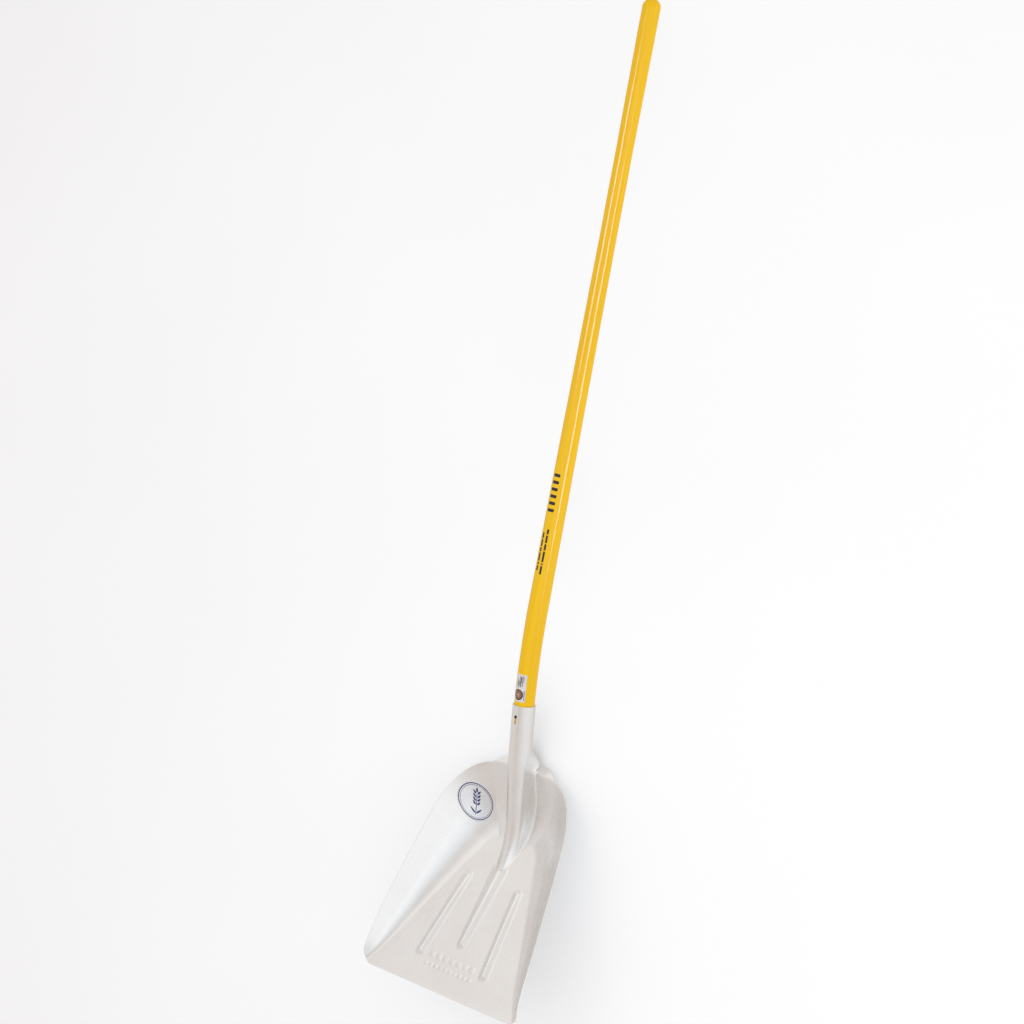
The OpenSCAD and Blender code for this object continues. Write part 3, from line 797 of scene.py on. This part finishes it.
# ------------------------------------------------------------------ build the pieces
scoop = dress(build_scoop(), aluminium(), "sheet", "scoop")
wn = scoop.modifiers.new("even_normals", "WEIGHTED_NORMAL")
wn.weight = 60
wn.keep_sharp = False

handle = dress(build_handle(), lacquered_ash(), "handle_wood", "handle")


def build_nail():
    """A round-headed wire nail: shank down to the wood, dome slightly flattened by the hammer."""
    profile = [(RH - 0.02, 0.05), (RH - 0.02, 0.7), (RH, 1.4), (RS - 0.4, 1.42), (RS + 0.05, 1.45), (RS + 0.12, 1.7), (RS + 0.14, 2.3), (RS + 0.2, 2.52),
               (RS + 0.34, 2.62), (RS + 0.5, 2.63), (RS + 0.72, 2.55), (RS + 0.95, 2.34), (RS + 1.17, 2.0), (RS + 1.34, 1.56), (RS + 1.45, 1.1),
               (RS + 1.51, 0.6), (RS + 1.53, 0.08)]
    A = 48
    ang = np.arange(A) / A * 2 * math.pi
    n = np.array([p[0] for p in profile])[:, None]
    r = np.array([p[1] for p in profile])[:, None] * (1 + 0.02 * np.sin(3 * ang + 0.6) + 0.012 * np.sin(7 * ang))
    n = n - ease((n - RS - 0.9) / 0.6) * 0.16 * ease((np.cos(ang - 0.9) * r - 0.1) / 1.6)
    p = at_spine(23.6 + r * np.cos(ang), n + 0 * ang, r * np.sin(ang))
    k = len(profile)
    idx = np.arange(k * A).reshape(k, A)
    a, b = idx[:-1], idx[1:]
    faces = np.stack([a, np.roll(a, -1, 1), np.roll(b, -1, 1), b], -1).reshape(-1, 4).tolist()
    faces.append(idx[0][::-1].tolist())
    faces.append(idx[-1].tolist())
    faces = [f[::-1] for f in faces]
    return mesh_object("socket_nail_steel", laid(p.reshape(-1, 3)), faces)


nail = dress(build_nail(), dark_steel(), "nail_steel", "socket_nail")

# paper label, wrapped round the front left of the handle, one corner lifting a little
LX0, LX1, LS0, LS1 = -30.5, 40.5, 51.0, 100.0
lx0, lx1 = math.radians(LX0) * RH, math.radians(LX1) * RH
lcx, lcs = (lx0 + lx1) / 2, (LS0 + LS1) / 2


def on_label(a, b, o):
    lift = 0.34 * ease((a - lx1 + 6) / 6) * ease((b - LS1 + 8) / 8) + 0.16 * ease((lx0 + 5 - a) / 5) * ease((LS0 + 6 - b) / 6)
    return on_handle(a, b, o + lift)


label = dress(plate("label_paper", [rounded(lcx, lcs, lx1 - lx0, LS1 - LS0, 1.6, 0.9)], on_label, 0.03, 0.20),
              paper("label_paper_stock", (0.58, 0.565, 0.55), (0.70, 0.69, 0.68)), "paper", "handle_label")

grey_bars = []
for k, (a, b0, b1, w) in enumerate(((5.4, 78.0, 97.0, 1.2), (3.5, 84.0, 96.0, 0.9), (1.6, 77.5, 95.5, 2.0), (-0.8, 80.0, 96.5, 0.9), (-2.7, 77.0, 88.0, 1.5),
                                     (7.4, 86.0, 97.0, 0.8), (-5.0, 80.5, 91.0, 1.0))):
    grey_bars.append(rounded(a, (b0 + b1) / 2, w, b1 - b0, 0.2, 1.2))
bars = dress(plate("label_bars", grey_bars, on_label, 0.16, 0.235), ink("label_grey_ink", (0.035, 0.034, 0.033), (0.085, 0.082, 0.080)), "paper")

SEAL = (-0.9, 63.2)
seal = dress(plate("label_seal", [disc(*SEAL, 9.7, 25)], on_label, 0.16, 0.26),
             ink("seal_brown", (0.052, 0.015, 0.007), (0.090, 0.028, 0.012), 0.45, 0.05), "paper")
seal_marks = [ring_shape(*SEAL, 6.1, 6.9, 56), disc(*SEAL, 3.4, 11)]
for k in range(8):
    g = math.radians(45 * k + 10)
    seal_marks.append(disc(SEAL[0] + 5.0 * math.cos(g), SEAL[1] + 5.0 * math.sin(g), 0.8, 7, 1.5, 45 * k + 100))
seal_ring = dress(plate("label_seal_marks", seal_marks, on_label, 0.22, 0.32),
                  ink("seal_rose", (0.42, 0.22, 0.15), (0.56, 0.33, 0.23), 0.34, 0.25), "paper")
stripe = dress(plate("label_stripe", [rounded(lx1 - 2.2, 63.0, 1.5, 18.0, 0.5, 0.8), rounded(lx1 - 4.4, 66.5, 0.8, 9.0, 0.3, 0.8)], on_label, 0.16, 0.235),
               ink("label_blue_ink", (0.07, 0.17, 0.42), (0.12, 0.25, 0.52)), "paper")

# black print on the handle: plain blocks and dashes where the maker's print would be
blocks = [rounded(0.2, 393.0 + 12.4 * k, 15.0, 5.6, 1.7, 1.0) for k in range(6)]
dashes = []
b = 284.5
for w in (9.0, 4.2, 14.5, 7.5, 12.0, 10.0):
    dashes.append(rounded(-4.9, b + w / 2, 4.4, w, 0.8, 0.8))
    b += w + 2.1
b = 279.0
for w in (15.0, 2.6, 19.0, 11.0, 13.5, 9.0):
    dashes.append(rounded(4.2, b + w / 2, 3.9, w, 0.8, 0.8))
    b += w + 2.1
print_ink = ink("handle_black_ink", (0.008, 0.007, 0.007), (0.018, 0.016, 0.015), 0.42, 0.0, 0.15)
marks = dress(plate("handle_print_blocks", blocks, on_handle, -0.06, 0.09), print_ink, "handle_wood")
lines = dress(plate("handle_print_dashes", dashes, on_handle, -0.06, 0.09), print_ink, "handle_wood")

# round foil sticker on the left back wall, with a plain ring and an ear of grain
SC = (-97.0, YT - 74)


def on_sticker(a, b, o):
    return on_scoop(SC[0] + a, SC[1] + b, o)


sticker = dress(plate("sticker_foil", [disc(0, 0, 30, 61)], on_sticker, 0.05, 0.30), foil(), "foil", "scoop_sticker")
shapes = [ring_shape(0, 0, 27.0, 28.5, 120), ring_shape(0, 0, 24.9, 25.5, 120)]
# the ear: stem, paired grains and short beards, leaning a little
LEAN = 8.0


def lean(x, y):
    c, s = math.cos(math.radians(LEAN)), math.sin(math.radians(LEAN))
    return x * c - y * s, x * s + y * c


shapes.append(rounded(*lean(0, -4.0), 1.2, 33.0, 0.5, 0.8, LEAN))
for k in range(4):
    y = -1.6 + 5.6 * k
    for side in (-1, 1):
        shapes.append(disc(*lean(side * 3.7, y), 1.5, 9, 3.5, LEAN - side * 40, 0.3))
shapes.append(disc(*lean(0, 18.6), 1.6, 9, 3.7, LEAN, 0.3))
for side in (-1, 1):
    shapes.append(disc(*lean(side * 5.2, -13.6), 1.35, 9, 5.8, LEAN - side * 44, 0.4))
ring_ink = dress(plate("sticker_print", shapes, on_sticker, 0.24, 0.36),
                 ink("sticker_blue_ink", (0.012, 0.022, 0.115), (0.024, 0.042, 0.18), 0.3, 0.1), "foil")

# ------------------------------------------------------------------ floor, light and camera
fm, g = material("studio_floor")
co = g.node("ShaderNodeTexCoord").outputs["Object"]
g.finish(Base_Color=g.ramp(g.noise(g.scaled(co, (1.5, 1.5, 1.5)), 1.0, 2.0), (0.3, (0.922, 0.922, 0.920)), (0.7, (0.938, 0.938, 0.936))), Roughness=0.9)
floor = mesh_object("studio_floor", [(-9, -9, 0), (9, -9, 0), (9, 9, 0), (-9, 9, 0)], [(0, 1, 2, 3)], smooth=False)
floor.data.materials.append(fm)
floor.visible_glossy = False

scene = bpy.context.scene
world = bpy.data.worlds.new("studio")
scene.world = world
world.use_nodes = True
g = Graph(world.node_tree)
gen = g.node("ShaderNodeTexCoord").outputs["Generated"]
LOBES = (   # direction, sharpness, colour
    ((0.68, 0.16, 0.71), 20.0, (0.26, 0.29, 0.31)),
    ((-0.32, 0.59, 0.74), 20.0, (0.19, 0.20, 0.20)),
    ((0.97, -0.05, -0.22), 6.0, (0.13, 0.17, 0.19)),
    ((-0.30, -0.37, 0.88), 20.0, (-0.04, -0.08, -0.11)),
    ((0.34, 0.18, 0.92), 20.0, (0.08, 0.12, 0.15)),
    ((0.90, -0.15, 0.40), 20.0, (0.12, 0.14, 0.15)),
    ((-0.61, 0.60, 0.51), 20.0, (0.08, 0.08, 0.07)),
    ((0.28, 0.78, 0.56), 12.0, (0.09, 0.10, 0.10)),
    ((-0.51, 0.01, 0.86), 20.0, (0.07, 0.075, 0.08)),
    ((0.65, 0.04, 0.76), 60.0, (0.25, 0.28, 0.31)),
    ((0.04, -0.16, 0.99), 25.0, (-0.14, -0.18, -0.20)),
    ((0.78, 0.17, -0.61), 6.0, (0.09, 0.11, 0.12)),
    ((-0.39, 0.61, 0.69), 60.0, (0.19, 0.19, 0.20)),
    ((0.97, 0.04, 0.25), 60.0, (0.35, 0.39, 0.42)),
    ((0.75, 0.37, 0.55), 60.0, (-0.10, -0.10, -0.10)),
    ((0.75, 0.03, 0.66), 60.0, (-0.10, -0.10, -0.10)),
    ((-0.10, 0.70, 0.71), 60.0, (-0.06, -0.06, -0.06)),
    ((-0.24, -0.10, 0.96), 60.0, (0.10, 0.13, 0.14)),
    ((-0.77, 0.30, 0.57), 60.0, (-0.12, -0.12, -0.11)),
    ((-0.06, 0.22, 0.97), 60.0, (-0.13, -0.10, -0.10)),
    ((0.40, 0.21, 0.89), 60.0, (0.05, 0.10, 0.14)),
    ((-0.80, 0.59, 0.14), 60.0, (0.18, 0.19, 0.21)),
)
total = (0.748, 0.714, 0.698)
node = g.node("ShaderNodeVectorMath", operation="ADD")
node.inputs[0].default_value = total
node.inputs[1].default_value = (0, 0, 0)
acc = node.outputs[0]
for d, k, col in LOBES:
    u = Vector(d).normalized()
    dot = g.node("ShaderNodeVectorMath", operation="DOT_PRODUCT")
    g.put(dot.inputs[0], gen)
    dot.inputs[1].default_value = u
    e = g.math("EXPONENT", g.math("MULTIPLY", g.math("SUBTRACT", dot.outputs["Value"], 1.0), k))
    sc = g.node("ShaderNodeVectorMath", operation="SCALE")
    sc.inputs[0].default_value = col
    g.put(sc.inputs["Scale"], e)
    ad = g.node("ShaderNodeVectorMath", operation="ADD")
    g.put(ad.inputs[0], acc)
    g.put(ad.inputs[1], sc.outputs[0])
    acc = ad.outputs[0]
lp = g.node("ShaderNodeLightPath")
shown = g.node("ShaderNodeBackground", {"Color": (0.93, 0.93, 0.93, 1), "Strength": 1.0})
lit = g.node("ShaderNodeBackground", {"Color": acc, "Strength": 1.0})
mx = g.node("ShaderNodeMixShader", {0: lp.outputs["Is Camera Ray"], 1: lit.outputs[0], 2: shown.outputs[0]})
wo = g.node("ShaderNodeOutputWorld")
g.put(wo.inputs["Surface"], mx.outputs[0])


def softbox(name, at, look, size_x, size_y, radiance, receivers, colour=(1, 1, 1)):
    """An area light of the given radiance; size_y runs as near to the row's Y as it can."""
    light = bpy.data.lights.new(name, "AREA")
    light.shape = "RECTANGLE"
    light.size, light.size_y = size_x, size_y
    light.energy = radiance * math.pi * size_x * size_y
    light.color = colour
    obj = bpy.data.objects.new(name, light)
    z = (Vector(at) - Vector(look)).normalized()
    y = Vector((0, 1, 0))
    y = (y - z * y.dot(z)).normalized()
    x = y.cross(z)
    m = Matrix((x, y, z)).transposed().to_4x4()
    m.translation = Vector(at)
    obj.matrix_world = m
    obj.visible_camera = False
    scene.collection.objects.link(obj)
    obj.light_linking.receiver_collection = receivers
    return obj


# the lacquer's two highlight strips and the floor's wash leave the bare metal alone
on_wood = bpy.data.collections.new("lit_by_strips")
for o in (handle, label):
    on_wood.objects.link(o)
on_floor = bpy.data.collections.new("lit_by_wash")
on_floor.objects.link(floor)
on_prints = bpy.data.collections.new("lit_by_side_wash")
for o in (handle, label, bars, seal, seal_ring, stripe, marks, lines, sticker, ring_ink):
    on_prints.objects.link(o)
for wash in (softbox("wash", (1.2, -0.3, 4.0), (0, 0, 0), 3.6, 3.6, 1.65, on_floor, (0.86, 0.93, 1.0)),
             softbox("side_wash", (1.2, -0.3, 4.0), (0, 0, 0), 3.6, 3.6, 1.30, on_prints, (0.84, 0.92, 1.0))):
    wash.visible_glossy = False
    wash.data.use_shadow = False
handle.visible_diffuse = False
for strip in (softbox("overhead_strip", (-0.27, 0.60, 2.25), (0, 0.6, 0.1), 0.48, 0.66, 34.0, on_wood, (0.80, 0.62, 1.0)),
              softbox("side_strip", (2.78, 0.17, 1.22), (0, 0.38, 0.1), 0.70, 0.95, 28.0, on_wood, (0.80, 0.64, 1.0))):
    strip.visible_diffuse = False
bounce = softbox("floor_bounce", (1.62, 0.60, -1.22), (0, 0.3, 0.1), 1.0, 1.8, 2.1, on_wood, (1.0, 0.97, 0.92))
bounce.visible_glossy = False
bounce.data.use_shadow = False

cam_data = bpy.data.cameras.new("camera")
cam = bpy.data.objects.new("camera", cam_data)
scene.collection.objects.link(cam)
cam_data.sensor_width = 36.0
cam_data.lens = 36.0 * 2843.942 / 1024
cam_data.clip_end = 100
z = Vector((0.6447263, 0.1326726, 0.752812)).normalized()
x = Vector((0.7358625, 0.1589203, -0.6582178))
x = (x - z * x.dot(z)).normalized()
m = Matrix((x, z.cross(x), z)).transposed().to_4x4()
m.translation = Vector((3.1466224, 0.6292642, 3.8396844))
cam.matrix_world = m
scene.camera = cam
scene.view_settings.view_transform = "Standard"
